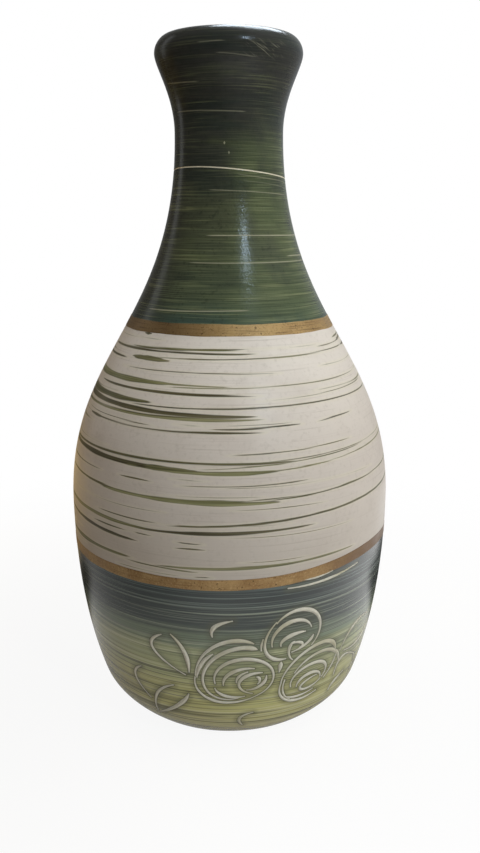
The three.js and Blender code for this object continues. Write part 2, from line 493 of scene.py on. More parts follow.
lining_seat, floor_seat = coat_seat + WALL + SEAT_GAP, FLOOR_HEIGHT + SEAT_GAP
floor_face = floor_seat + LINING_THICKNESS
lined = hollow[hollow < length_at(VASE_HEIGHT - HOLLOW_DROP - SEAM_GAP)]
lining_back = skin(lined, lining_seat)
lining_back = lining_back[lining_back[:, 1] > floor_seat]
lining_face = skin(lined, lining_seat + LINING_THICKNESS)
lining_face = lining_face[lining_face[:, 1] > floor_face]
lining_section = [
    (0.0, floor_seat),
    (lining_back[-1][0] - FLOOR_FILLET, floor_seat),
    *lining_back[::-1],
    *lining_face,
    (lining_face[-1][0] - FLOOR_FILLET, floor_face),
    (0.0, floor_face),
]
inner_glaze = turn("inner_glaze_poured", lining_section, clear_glaze, columns=CLAY_COLUMNS)
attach(inner_glaze, "root")
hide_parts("inner_glaze")

# Base coat
# A glossy green glaze brushed on the lower third while the pot turns: slate under the gold, olive below.
# Roses and leaves are then scratched through it with a loop tool, down to the pale slip.
LOWER_BAND_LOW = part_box("lower_gold_band")[0].z
LOWER_BAND_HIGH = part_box("lower_gold_band")[1].z
LOWER_SEAM = (LOWER_BAND_LOW + LOWER_BAND_HIGH) / 2
# The banding brush climbs on the right, and the coats on both sides of it with it.
BAND_CLIMB = {"lift": 6.8 * mm, "lift_side": math.radians(62), "lift_power": 9.6}
BAND_CLIMB_FADE = 25 * mm
BASE_SPACING = 1.1 * mm
EDGE_ROUNDING = 0.7 * mm
EDGE_ROWS = 5
BACK_SPACING = 6 * mm


def coat_section(low, high, spacing, thickness=COAT_THICKNESS, proud=0.0, edge_drop=0.6):
    """The closed section of a coat between two lengths along the skin, with rounded edges.
    Also gives what shows, the places and the way onward along the skin for each of its points."""
    ends = min(EDGE_ROUNDING, (high - low) / 4)
    edge = ends * (1 - np.cos(np.linspace(0.0, math.pi / 2, EDGE_ROWS)))
    middle = np.linspace(low + ends, high - ends, max(3, int((high - low) / spacing)))
    places = np.concatenate([low + edge, middle[1:-1], (high - edge)[::-1]])
    from_edge = np.clip(np.minimum(places - low, high - places) / ends, 0.0, 1.0)
    drop = (thickness + proud) * edge_drop * (1 - np.sqrt(1 - (1 - from_edge) ** 2))
    back = np.linspace(high, low, max(3, int((high - low) / BACK_SPACING)))
    face_points = skin(places, drop - proud)
    back_points = skin(back, np.full(len(back), thickness))
    points = np.concatenate([face_points, back_points, face_points[:1]])
    shows = np.concatenate([from_edge, np.zeros(len(back)), from_edge[:1]])
    where = np.concatenate([places, back, places[:1]])
    return points, shows, where, along_skin(where, tangents)


def near_edge(where, edge, fade):
    """1 at an edge of a coat, going down evenly to 0 at a distance from it along the skin."""
    return np.clip(1 - np.abs(where - edge) / fade, 0.0, 1.0)


def rounded_off(share):
    """A share from 0 to 1 that starts and ends gently."""
    return share * share * (3 - 2 * share)


# The loop tool: each stroke is a run of points with an angle, a length along the skin and half a width.
TOOL = 1.3 * mm
STROKE_STEPS = 200
UPRIGHT_SHARE = 0.74  # of its width where the flat tool runs upright instead of level
DIGGING_IN, LIFTING_OUT = 0.4, 0.5  # powers; the lower, the more suddenly
FINEST_CUT = 0.4 * mm
SPLIT_MARGINS = (0.7 * mm, 0.35 * mm)


def girth_at(length):
    """The radius at a length along the outline."""
    return along_skin(np.array([length]), outline)[0, 0]


def pressed(right, above, touch, hardest):
    """Half the width of a cut along its stroke: the tool digs in, presses hardest and lifts out."""
    share = np.linspace(0.0, 1.0, STROKE_STEPS)
    going_in = np.clip(share / hardest, 0.0, 1.0) ** DIGGING_IN
    lifting = np.clip((1 - share) / (1 - hardest), 0.0, 1.0) ** LIFTING_OUT
    rightward, upward = np.gradient(right), np.gradient(above)
    level = np.abs(rightward) / np.hypot(rightward, upward)
    broad = UPRIGHT_SHARE + (1 - UPRIGHT_SHARE) * level
    return np.maximum(FINEST_CUT, TOOL * touch * broad * going_in * lifting)


def petal(place, right, above, across, tall, tilt, start, sweep, touch, hardest):
    """Part of an oval, drawn flat in millimetres about a place on the skin: one turn of the wrist."""
    turned = np.radians(np.linspace(start, start + sweep, STROKE_STEPS))
    along, over = across * np.cos(turned), tall * np.sin(turned)
    lean = math.radians(tilt)
    rightward = right + along * math.cos(lean) - over * math.sin(lean)
    upward = above + along * math.sin(lean) + over * math.cos(lean)
    angle, length = math.radians(place[0]), length_at(place[1] * mm)
    widths = pressed(rightward, upward, touch, hardest)
    return angle + rightward * mm / girth_at(length), length + upward * mm, widths


def bowed(start, via, end, touch, hardest=0.4):
    """One stroke from a place over another to a third; a place is degrees round and millimetres up."""
    share = np.linspace(0.0, 1.0, STROKE_STEPS)[:, None]
    start, via, end = np.array(start), np.array(via), np.array(end)
    pull = 2 * via - (start + end) / 2
    run = (1 - share) ** 2 * start + 2 * share * (1 - share) * pull + share ** 2 * end
    angles = np.radians(run[:, 0])
    lengths_up = np.array([length_at(height * mm) for height in run[:, 1]])
    return angles, lengths_up, pressed(angles * BELLY_RADIUS, lengths_up, touch, hardest)


def split_near(mesh, spots, widths):
    """Splits the faces along the cuts in four, twice, so that only they are fine."""
    cuts = KDTree(len(spots))
    for number, spot in enumerate(spots):
        cuts.insert(spot, number)
    cuts.balance()
    shape = bmesh.new()
    shape.from_mesh(mesh)
    for margin in SPLIT_MARGINS:
        shows = shape.verts.layers.float["shows"]
        near = []
        for corner in shape.verts:
            _, number, distance = cuts.find(corner.co)
            if corner[shows] > 0 and distance < widths[number] + margin:
                near.append(corner)
        edges = dict.fromkeys(edge for corner in near for face in corner.link_faces for edge in face.edges)
        bmesh.ops.subdivide_edges(shape, edges=list(edges), cuts=1, use_grid_fill=True)
    shape.to_mesh(mesh)
    shape.free()


# The petals of each rose, from the outside in: how far right of and above its middle the petal's oval lies,
# half its breadth and height, its tilt, where the cut starts and how far round it sweeps, in degrees,
# how firm the touch is and where along the cut it is firmest. Most of the ovals were fitted by a program to
# points picked in the photo, and then rounded.
LEFT_ROSE = (1.5, 58.6), [
    (-0.5, -5.0, 21.5, 24.5, -16, 79, 115, 1.05, 0.2),
    (3.0, -4.0, 27.0, 18.5, 23, 154, 125, 0.8, 0.5),
    (-0.5, -8.0, 21.0, 22.0, -6, 129, 52, 1.15, 0.6),
    (0.5, -3.5, 20.5, 16.0, 41, 18, 223, 1.1, 0.04),
    (5.5, -7.0, 17.0, 14.0, 0, 192, -250, 0.95, 0.35),
    (6.5, -9.0, 13.0, 9.5, 7, 182, -117, 1.0, 0.5),
    (14.0, -10.5, 11.5, 7.5, 0, 82, 170, 0.95, 0.3),
    (9.5, -7.5, 9.0, 7.0, 21, -12, -111, 0.9, 0.3),
    (9.5, -7.5, 8.5, 6.0, 10, 181, -83, 0.7, 0.5),
    (12.5, -8.5, 2.0, 2.7, 0, 87, -150, 0.8, 0.4),
    (2.0, -11.5, 13.5, 8.5, 4, 186, 99, 0.85, 0.5),
]
TOP_ROSE = (21.7, 78.4), [
    (0.5, 0.5, 19.0, 13.5, 43, 96, 128, 0.95, 0.8),
    (2.5, 0.0, 15.5, 14.5, 22, 122, -189, 1.0, 0.45),
    (0.0, -2.5, 12.5, 10.5, 24, 173, -176, 1.05, 0.5),
    (3.0, -4.5, 10.0, 4.5, 9, 188, -132, 1.05, 0.6),
    (-0.5, -5.0, 14.5, 7.0, 13, -15, -78, 0.85, 0.2),
    (3.0, -11.5, 4.5, 6.5, 7, 97, 142, 0.9, 0.3),
    (3.0, -8.0, 4.0, 2.0, -6, 138, -194, 0.75, 0.5),
    (0.0, -1.0, 20.5, 15.0, 43, 128, 24, 0.6, 0.5),
]
RIGHT_ROSE = (30.1, 50.2), [
    (1.0, 0.5, 20.5, 14.5, 41, -21, 166, 1.1, 0.15),
    (6.5, -1.0, 26.0, 16.5, 30, 147, 111, 0.85, 0.6),
    (7.0, -7.0, 19.0, 18.0, 46, -32, 138, 1.05, 0.2),
    (1.5, -4.5, 12.5, 9.0, 17, -45, 228, 0.9, 0.4),
    (2.0, -8.5, 8.5, 6.5, 13, 173, -180, 0.95, 0.5),
    (4.0, -9.0, 8.0, 3.5, 19, 57, 268, 0.75, 0.5),
    (2.5, -7.0, 18.5, 9.0, 18, 194, 80, 0.7, 0.5),
    (2.4, -1.8, 20.4, 15.0, 45, 128, 64, 0.55, 0.5),
    (2.0, -1.6, 22.3, 14.0, 45, -33, -50, 0.6, 0.4),
]
strokes = [petal(place, *cut) for place, cuts in (LEFT_ROSE, TOP_ROSE, RIGHT_ROSE) for cut in cuts]
strokes += [
    bowed((-24.2, 77.8), (-28.1, 67.5), (-16.4, 53.3), 0.9, 0.3),
    bowed((-20.6, 79.0), (-16.0, 68.6), (-14.9, 55.5), 1.3, 0.7),
    bowed((-21.8, 44.4), (-29.9, 35.3), (-32.6, 20.5), 0.8, 0.5),
    bowed((-33.2, 18.0), (-21.7, 29.0), (-16.0, 39.6), 1.1, 0.7),
    bowed((-35.2, 52.0), (-39.4, 43.0), (-34.0, 29.9), 0.75, 0.4),
    bowed((-6.0, 80.0), (-5.1, 86.3), (0.7, 90.0), 1.1, 0.4),
    bowed((5.1, 15.4), (3.8, 22.6), (9.0, 26.8), 0.9, 0.35),
    bowed((18.2, 61.0), (18.1, 57.8), (17.8, 54.4), 1.3, 0.3),
    bowed((45.6, 56.0), (52.6, 69.5), (64.0, 69.5), 0.7),
    bowed((67.4, 62.2), (60.0, 54.0), (48.6, 54.1), 0.6),
    bowed((45.5, 39.0), (48.0, 49.8), (56.5, 47.0), 0.65),
    bowed((56.5, 47.0), (61.5, 40.5), (60.8, 32.5), 0.55),
    bowed((45.1, 28.0), (47.6, 33.4), (53.0, 36.8), 0.7),
    bowed((19.0, 107.2), (33.0, 107.8), (48.6, 111.0), 0.62, 0.55),
    bowed((23.0, 110.9), (29.5, 110.8), (36.0, 112.2), 0.55, 0.5),
]

GROOVE_WALL = 0.8  # of half a cut's width, over which it goes down
scratching, given = new_tree("scratch_through", {
    "Geometry": "Geometry",
    "Strokes": "Object",
    "Depth per Half Width": "Float",
    "Burr": "Float",
    "Burr Width": "Float",
    "Material": "Material",
})
lines = add_node(scratching, "GeometryNodeObjectInfo", {"Object": given["Strokes"]}).outputs["Geometry"]
position = add_node(scratching, "GeometryNodeInputPosition").outputs[0]
nearest = add_node(scratching, "GeometryNodeSampleNearest", {
    "Geometry": lines,
    "Sample Position": position,
}).outputs[0]
line_point = sampled(lines, "FLOAT_VECTOR", position, nearest)
line_width = sampled(lines, "FLOAT", read_attribute(scratching, "half_width"), nearest)
away = calc("SUBTRACT", vector_calc("DISTANCE", position, line_point), line_width)
groove = ease(away, 0.0, times(line_width, -GROOVE_WALL))
lip = calc("DIVIDE", away, given["Burr Width"])
lip = calc("EXPONENT", times(lip, lip, -1))
depth = times(line_width, given["Depth per Half Width"])
shift = calc("SUBTRACT", times(lip, given["Burr"]), times(groove, depth))
shift = times(shift, read_attribute(scratching, "shows"))
normal = add_node(scratching, "GeometryNodeInputNormal").outputs[0]
scored = add_node(scratching, "GeometryNodeSetPosition", {
    "Geometry": given["Geometry"],
    "Offset": scaled(normal, shift),
}).outputs[0]
end_tree(scratching, keep_attribute(scored, "scratch", away), given["Material"])


def turned_to(side, way, start, end, first=0.0, last=1.0):
    """Goes from first to last as a side turns towards a way."""
    return ease(vector_calc("DOT_PRODUCT", side, way), start, end, first, last)


def read_kept(tree, name):
    """A number that is kept on each point of a mesh, read by its finish."""
    return add_node(tree, "ShaderNodeAttribute", attribute_name=name).outputs["Fac"]


def height_colours(height, stops):
    """Colours that change up the pot: from the bottom, heights in millimetres and the colour there."""
    stops = [(at * mm, srgb(*colour)) for at, *colour in stops]
    low, high = stops[0][0], stops[-1][0]
    share = calc("DIVIDE", calc("SUBTRACT", height, low), high - low)
    made = add_node(height.id_data, "ShaderNodeValToRGB", {"Fac": share})
    ramp = made.color_ramp
    ramp.interpolation = "EASE"
    while len(ramp.elements) < len(stops):
        ramp.elements.new(0.5)
    for element, (at, colour) in zip(ramp.elements, stops):
        element.position = (at - low) / (high - low)
        element.color = colour
    return made.outputs[0]


COLOUR_SWEEP = 26 * mm  # how far the brush carries the colours up and down
WARM_REFLECTION_SIDE = (-0.98, 0.17, 0.0)  # the left edge, where a warm reflection is painted into the slate
PAINTED_WARM_REFLECTION = srgb(94, 76, 30)
POOLED_GLAZE_AND_SHADE = srgb(74, 74, 44)
CUT_EDGE_POOL_AND_SHADE = srgb(58, 58, 36)
DARK_SLIP = srgb(191, 185, 167)
PALE_SLIP = srgb(217, 212, 197)
STAINED_SLIP = srgb(166, 158, 122)
meadow_glaze, tree, shader = new_finish("meadow_green_glaze", Specular_IOR_Level=0.5, Coat_Roughness=0.15)
place, side, height = wheel_place(tree)
sweep_marks = brush_lines(side, height, around=0.45, per_metre=110.0, seed=21.0, detail=3.0)
pale_marks = brush_lines(side, height, around=0.4, per_metre=640.0, seed=5.0, roughness=0.6)
dark_marks = brush_lines(side, height, around=0.55, per_metre=760.0, seed=17.0, roughness=0.6)
combed = brush_lines(side, height, around=0.8, per_metre=1250.0, seed=29.0, detail=1.0)
mixed_height = calc("ADD", height, times(calc("SUBTRACT", sweep_marks, 0.5), COLOUR_SWEEP))
glaze = height_colours(mixed_height, [
    (8, 194, 184, 118),
    (35, 186, 181, 119),
    (60, 162, 165, 118),
    (76, 112, 124, 98),
    (88, 48, 57, 52),
    (112, 39, 48, 45),
])
pale_line = height_colours(mixed_height, [
    (8, 206, 198, 150),
    (60, 196, 194, 156),
    (80, 150, 156, 134),
    (112, 94, 106, 102),
])
dark_line = height_colours(mixed_height, [
    (8, 80, 74, 38),
    (60, 70, 72, 42),
    (85, 46, 52, 46),
    (112, 40, 46, 45),
])
glaze = paint(glaze, pale_line, ease(pale_marks, 0.55, 0.65, 0.0, 0.85))
glaze = paint(glaze, dark_line, ease(dark_marks, 0.55, 0.65, 0.0, 0.7))
glaze = paint(glaze, pale_line, ease(combed, 0.54, 0.68, 0.0, 0.5))
glaze = paint(glaze, dark_line, ease(combed, 0.46, 0.32, 0.0, 0.5))
# Painted reflection: a dark amber patch on the left edge, just under the gold band.
warm_reflection = times(turned_to(side, WARM_REFLECTION_SIDE, 0.6, 0.95), ease(height, 84 * mm, 104 * mm))
glaze = paint(glaze, PAINTED_WARM_REFLECTION, times(warm_reflection, ease(sweep_marks, 0.3, 0.62, 0.15, 0.75)))
scratch = read_kept(tree, "scratch")
# Beside each cut the glaze is darker, broadly and then tightly at the edge: glaze pooled there, and painted
# shade.
glaze = paint(glaze, POOLED_GLAZE_AND_SHADE, ease(scratch, 4.0 * mm, 0.8 * mm, 0.0, 0.36))
glaze = paint(glaze, CUT_EDGE_POOL_AND_SHADE, ease(scratch, 0.9 * mm, 0.2 * mm, 0.0, 0.6))
grit = noise(place, scale=500.0, detail=3.0)
stained = noise(place, scale=38.0, detail=3.0)
bare = paint(DARK_SLIP, PALE_SLIP, grit)
bare = paint(bare, STAINED_SLIP, ease(stained, 0.48, 0.66, 0.0, 0.55))
glaze = paint(glaze, bare, ease(scratch, 0.1 * mm, -0.12 * mm))
set_input(shader.inputs["Base Color"], glaze)
set_input(shader.inputs["Roughness"], ease(scratch, 0.1 * mm, -0.2 * mm, 0.24, 0.6))
set_input(shader.inputs["Coat Weight"], ease(scratch, 0.2 * mm, -0.1 * mm, 0.4, 0.0))
bumped(shader, calc("SUBTRACT", pale_marks, dark_marks), 0.1 * mm)

base_low, base_high = length_at(GLAZE_LINE), length_at(LOWER_SEAM - SEAT_GAP)
points, shows, where, onward = coat_section(base_low, base_high, BASE_SPACING)
lifts = rounded_off(near_edge(where, base_high, BAND_CLIMB_FADE))
base_coat = turn(
    "base_coat_brushed", points, meadow_glaze, shows, lifts, onward=onward,
    columns=260, dense_side=math.radians(12), dense_spacing=0.45,
    ridge_depth=0.08 * mm, ridges_per_metre=420.0, seed=1.0, **BAND_CLIMB,
)
stroke_points, stroke_widths = [], []
for angles, places, widths in strokes:
    half_section = skin(places)
    stroke_points += [(r * math.sin(a), -r * math.cos(a), z) for a, (r, z) in zip(angles, half_section)]
    stroke_widths += list(widths)
split_near(base_coat.data, stroke_points, stroke_widths)
stroke_mesh = bpy.data.meshes.new("tool_strokes")
stroke_mesh.from_pydata(stroke_points, [], [])
write_attribute(stroke_mesh, "half_width", stroke_widths)
tool_strokes = new_object("tool_strokes", stroke_mesh)
run_modifier(base_coat, scratching, {
    "Strokes": tool_strokes,
    "Depth per Half Width": 0.5,
    "Burr": 0.1 * mm,
    "Burr Width": 0.45 * mm,
    "Material": meadow_glaze,
})
bpy.data.objects.remove(tool_strokes)
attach(base_coat, "root")
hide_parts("base_coat")

# Lower gold band
# Liquid gold lustre laid over the seam of base and belly with one pass of a banding brush.
# The hand climbed a little on the right, and the film is thin and brown there.
GOLD_FILM = 0.1 * mm
FILM_GAP = 0.02 * mm  # between the film and the coats under it
GOLD_SPACING = 0.4 * mm
GOLD_WANDER = 1.3 * mm
WORN_SIDE = (0.9, -0.43, 0.0)  # where the lower band is thin and brown
SHADED_SIDE = (-0.87, -0.5, 0.0)  # where the upper band is
THIN_GOLD = srgb(150, 118, 78)
THICK_GOLD = srgb(182, 150, 103)
UPPER_GOLD_SHEEN = srgb(228, 190, 128)
STROKE_BROWN = srgb(120, 92, 62)
PALE_GRAIN = srgb(206, 176, 128)
DARK_GRAIN = srgb(104, 78, 50)
PINHOLE = srgb(70, 52, 36)
WORN_GOLD = srgb(98, 74, 54)
SHADED_GOLD = srgb(96, 76, 54)
gold_lustre, tree, shader = new_finish("gold_lustre", Metallic=0.6, Specular_IOR_Level=0.25)
place, side, height = wheel_place(tree)
strokes_of_gold = brush_lines(side, height, around=3.0, per_metre=1400.0, seed=31.0, detail=3.0)
patches = noise(place, scale=70.0, detail=4.0, roughness=0.6)
specks = noise(place, scale=700.0, detail=2.0)
grains = noise(place, scale=950.0, detail=3.0, roughness=0.65)
upper = ease(height, 150 * mm, 200 * mm)
lower = ease(height, 200 * mm, 150 * mm)
gold = paint(THIN_GOLD, THICK_GOLD, ease(patches, 0.35, 0.7))
# Painted sheen: the upper band is painted brighter, in place of a reflection.
gold = paint(gold, UPPER_GOLD_SHEEN, times(upper, 0.4))
gold = paint(gold, STROKE_BROWN, ease(strokes_of_gold, 0.52, 0.72, 0.0, 0.7))
gold = paint(gold, PALE_GRAIN, ease(grains, 0.54, 0.7, 0.0, 0.45))
gold = paint(gold, DARK_GRAIN, ease(grains, 0.46, 0.3, 0.0, 0.45))
gold = paint(gold, PINHOLE, ease(specks, 0.64, 0.72, 0.0, 0.75))
gold = paint(gold, WORN_GOLD, times(turned_to(side, WORN_SIDE, 0.72, 0.99), lower, 0.85))
gold = paint(gold, SHADED_GOLD, times(turned_to(side, SHADED_SIDE, 0.55, 0.95, 0.0, 0.65), upper))
set_input(shader.inputs["Base Color"], gold)
set_input(shader.inputs["Roughness"], ease(patches, 0.3, 0.7, 0.34, 0.5))
bumped(shader, strokes_of_gold, 0.06 * mm)


def gold_band(name, node, low, high, seed, **climb):
    """A film of gold between two heights; its edges wander apart and together as the brush does."""
    low, high = length_at(low), length_at(high)
    points, shows, where, onward = coat_section(
        low, high, GOLD_SPACING, thickness=-FILM_GAP, proud=FILM_GAP + GOLD_FILM,
    )
    up_band = np.clip((where - low) / (high - low), 0.0, 1.0)
    band = turn(
        name, points, gold_lustre, shows, 1.0, 2 * up_band - 1, onward=onward,
        columns=240, wander=GOLD_WANDER, seed=seed, **climb,
    )
    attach(band, "root")
    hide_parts(node)


gold_band(
    "lower_gold_band_painted", "lower_gold_band", LOWER_BAND_LOW, LOWER_BAND_HIGH, seed=4.0, **BAND_CLIMB,
)

# Belly coat
# Cream slip, satin when fired, brushed over the belly. Green slip was dragged round it with a dry
# brush on the wheel, so its streaks start broad, split into hairs and run out level.
UPPER_BAND_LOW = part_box("upper_gold_band")[0].z
UPPER_BAND_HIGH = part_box("upper_gold_band")[1].z
UPPER_SEAM = (UPPER_BAND_LOW + UPPER_BAND_HIGH) / 2

# Each streak: from and to in degrees round from the front, its height there in millimetres,
# half its width in millimetres, where along it that is reached, and how dark it is.
BELLY_STREAKS = [
    (64, 102, 234.4, 236.4, 0.40, 0.8, 0.8),
    (45, 88, 231.8, 232.8, 0.22, 0.6, 0.6),
    (66, 104, 232.2, 234.8, 0.75, 0.8, 0.9),
    (72, 104, 229.4, 230.0, 0.85, 0.6, 0.8),
    (-50, -43, 239.0, 239.2, 0.80, 0.5, 0.9),
    (-56, 10, 231.9, 232.9, 0.62, 0.5, 0.4),
    (-84, 14, 230.6, 230.8, 0.68, 0.6, 0.7),
    (-40, 78, 227.4, 229.6, 0.28, 0.6, 0.4),
    (-52, -27, 226.8, 226.4, 1.35, 0.4, 0.5),
    (42, 88, 222.0, 222.4, 0.20, 0.5, 0.5),
    (-57, 24, 221.2, 220.8, 0.18, 0.4, 0.8),
    (-118, -23, 216.1, 214.9, 1.75, 0.6, 0.1),
    (-40, 2, 215.1, 214.5, 0.36, 0.3, 0.2),
    (-27, 88, 213.4, 215.6, 0.22, 0.5, 0.3),
    (-72, 14, 211.3, 210.0, 0.74, 0.4, 0.9),
    (34, 86, 210.2, 210.9, 0.20, 0.5, 0.4),
    (10, 78, 207.4, 209.8, 0.18, 0.5, 0.4),
    (-118, -30, 206.3, 204.9, 1.60, 0.6, 0.5),
    (-46, 86, 203.4, 205.2, 0.38, 0.5, 0.7),
    (-116, 12, 203.6, 199.9, 1.40, 0.4, 1.0),
    (-110, 14, 198.8, 198.3, 0.90, 0.7, 0.4),
    (-22, -6, 195.4, 195.7, 0.28, 0.4, 0.7),
    (-76, -28, 195.6, 193.8, 0.28, 0.7, 0.7),
    (-5, 26, 195.5, 196.3, 0.30, 0.4, 0.7),
    (-8, 28, 193.9, 194.8, 0.56, 0.4, 0.9),
    (33, 55, 194.9, 196.8, 0.42, 0.5, 1.0),
    (-66, 14, 192.6, 191.9, 0.42, 0.8, 0.9),
    (-69, -54, 192.8, 192.5, 0.75, 0.4, 0.8),
    (-2, 50, 181.0, 183.4, 0.18, 0.6, 0.6),
    (-118, 26, 176.7, 176.9, 0.76, 0.7, 0.6),
    (10, 90, 177.2, 181.2, 0.26, 0.3, 0.4),
    (-14, 56, 173.5, 179.0, 0.24, 0.3, 0.4),
    (-118, -11, 176.4, 172.4, 1.30, 0.6, 0.9),
    (-42, -8, 173.2, 172.7, 1.45, 0.5, 0.5),
    (-24, 19, 171.8, 172.3, 1.05, 0.5, 0.2),
    (10, 90, 172.0, 179.0, 0.28, 0.4, 0.3),
    (-90, -47, 166.8, 165.8, 0.34, 0.6, 0.8),
    (-41, -25, 166.2, 165.4, 0.46, 0.6, 0.9),
    (-19, 28, 164.8, 166.3, 0.26, 0.7, 0.7),
    (-118, -28, 162.3, 156.8, 0.60, 0.8, 0.7),
    (-50, 18, 157.4, 156.6, 1.40, 0.7, 0.3),
    (3, 27, 158.0, 158.9, 0.22, 0.5, 0.3),
    (2, 100, 156.4, 164.0, 0.42, 0.4, 0.4),
    (33, 50, 158.8, 160.3, 0.55, 0.5, 0.2),
    (-52, -22, 143.9, 143.8, 0.34, 0.5, 0.9),
    (-22, 100, 143.0, 153.8, 0.62, 0.3, 0.7),
    (-118, -18, 143.9, 139.2, 1.05, 0.6, 0.4),
    (-34, 30, 139.2, 142.0, 1.05, 0.4, 1.0),
    (-56, -34, 136.4, 136.6, 0.40, 0.5, 0.5),
    (-34, -24, 136.7, 136.1, 0.38, 0.5, 0.7),
    (-112, -30, 137.3, 131.7, 1.10, 0.7, 1.0),
    (-19, -7, 134.8, 134.1, 0.50, 0.4, 1.0),
    (-19, -7, 131.0, 131.4, 0.46, 0.6, 0.9),
    (-118, -32, 122.0, 121.2, 1.10, 0.7, 0.4),
    (-40, -8, 119.9, 118.2, 0.48, 0.4, 0.5),
    (-27, 47, 119.6, 123.2, 0.85, 0.4, 0.4),
    (-13, -4, 115.7, 115.6, 0.32, 0.5, 0.9),
]
SINGLE_BRISTLE = 0.24  # millimetres, half its width
SWELLING = 0.42  # a power; the lower, the sooner a streak is broad
WAVER = 0.12  # millimetres
RUN_OUT = 0.1  # the share of a streak's length over which the brush lifts off
SHORTEST_RUN_OUT = 8  # degrees
RUN_OUT_DEPTH = 0.3  # millimetres
FAR_OFF = 10 * mm
BACK_STREAKS = 34
BACK_HEIGHTS = 119, 235  # millimetres
BACK_STARTS, BACK_SWEEPS = (92, 225), (25, 120)  # degrees
HAIRS_PER_STREAK = 2
STRAY_HAIRS = 40
STRAY_HEIGHTS = 116, 236  # millimetres
STRAY_STARTS, STRAY_SWEEPS = (-200, 10), (15, 70)  # degrees


def dragged_round(chance):
    """More streaks of the same kind for the side away from the front."""
    streaks = []
    for level in np.linspace(*BACK_HEIGHTS, BACK_STREAKS):
        start = chance.uniform(*BACK_STARTS)
        level += chance.uniform(-2.5, 2.5)
        half_width = 0.22 + 1.1 * chance.random() ** 3
        end = start + chance.uniform(*BACK_SWEEPS)
        end_level = level + chance.uniform(-1.5, 1.5)
        broadest = chance.uniform(0.25, 0.75)
        streaks.append((start, end, level, end_level, half_width, broadest, chance.random()))
    return streaks


def hairs_beside(chance, streaks):
    """Single bristles that drag on beside a streak, and past its end."""
    hairs = []
    for start, end, from_height, to_height, half_width, _, dark in streaks:
        for _ in range(HAIRS_PER_STREAK):
            share = chance.uniform(0.0, 0.5)
            beside = chance.choice([-1, 1]) * (half_width + chance.uniform(0.3, 1.0))
            level = from_height + (to_height - from_height) * share + beside
            first = start + (end - start) * share
            last = first + (end - start) * chance.uniform(0.2, 0.6)
            hairs.append((first, last, level, level, chance.uniform(0.08, 0.2), 0.4, dark))
    return hairs


def stray_hairs(chance):
    """Faint single bristle marks, mostly on the left, where the brush only just touched."""
    hairs = []
    for level in np.linspace(*STRAY_HEIGHTS, STRAY_HAIRS):
        start = chance.uniform(*STRAY_STARTS)
        level += chance.uniform(-1.0, 1.0)
        end = start + chance.uniform(*STRAY_SWEEPS)
        hairs.append((start, end, level, level, chance.uniform(0.02, 0.1), 0.5, 0.9))
    return hairs


def lay_streaks(mesh, streaks):
    """Keeps on each point how far, in metres, it lies inside the nearest streak, and how dark that is."""
    spots = np.empty(len(mesh.vertices) * 3)
    mesh.vertices.foreach_get("co", spots)
    x, y, z = spots.reshape(-1, 3).T
    bearing = np.degrees(np.arctan2(x, -y))
    girth = np.hypot(x, y)
    reach = np.full(len(x), -FAR_OFF)
    tone = np.zeros(len(x))
    for number, (start, end, from_height, to_height, half_width, broadest, dark) in enumerate(streaks):
        gone = (bearing - start + 90) % 360 - 90
        share = np.clip(gone / (end - start), 0.0, 1.0)
        swell = np.minimum(share / broadest, (1 - share) / (1 - broadest)) ** SWELLING
        unsteady = 1 + 0.12 * np.sin(9 * share + number) + 0.09 * np.sin(23 * share + 2 * number)
        waver = WAVER * np.sin(6 * share + 3 * number)
        level = (from_height + (to_height - from_height) * share + waver) * mm
        past = np.radians(gone - share * (end - start)) * girth
        hair = min(half_width, SINGLE_BRISTLE)
        run_out = min(0.5, max(RUN_OUT, SHORTEST_RUN_OUT / (end - start)))
        lifted = 1 - np.clip(np.minimum(share, 1 - share) / run_out, 0.0, 1.0)
        width = hair - (hair + RUN_OUT_DEPTH) * lifted ** 2 + (half_width - hair) * swell * unsteady
        inside = width * mm - np.hypot(z - level, past)
        tone = np.where(inside > reach, dark, tone)
        reach = np.maximum(reach, inside)
    write_attribute(mesh, "streak", reach)
    write_attribute(mesh, "streak_dark", tone)


BELLY_SPACING = 0.27 * mm
CLOUDED_CREAM = srgb(178, 164, 152)
GRITTY_CREAM = srgb(168, 156, 142)
BRISTLE_BROWN = srgb(150, 136, 118)
STREAK_HALO = srgb(218, 211, 180)
DARK_OLIVE = srgb(102, 101, 62)
PALE_OLIVE = srgb(150, 147, 106)
DARKEST_GREEN = srgb(66, 60, 40)
DEEP_GREEN = srgb(102, 95, 67)
cream_slip, tree, shader = new_finish(
    "cream_slip", Specular_IOR_Level=0.4, Coat_Weight=0.15, Coat_Roughness=0.28,
)
place, side, height = wheel_place(tree)
hairs = brush_lines(side, height, around=1.4, per_metre=1500.0, seed=11.0)
dragged = brush_lines(side, height, around=1.6, per_metre=340.0, seed=14.0, detail=4.0)
cloudy = noise(place, scale=22.0, detail=4.0, roughness=0.55)
grit = noise(place, scale=420.0, detail=3.0, roughness=0.6)
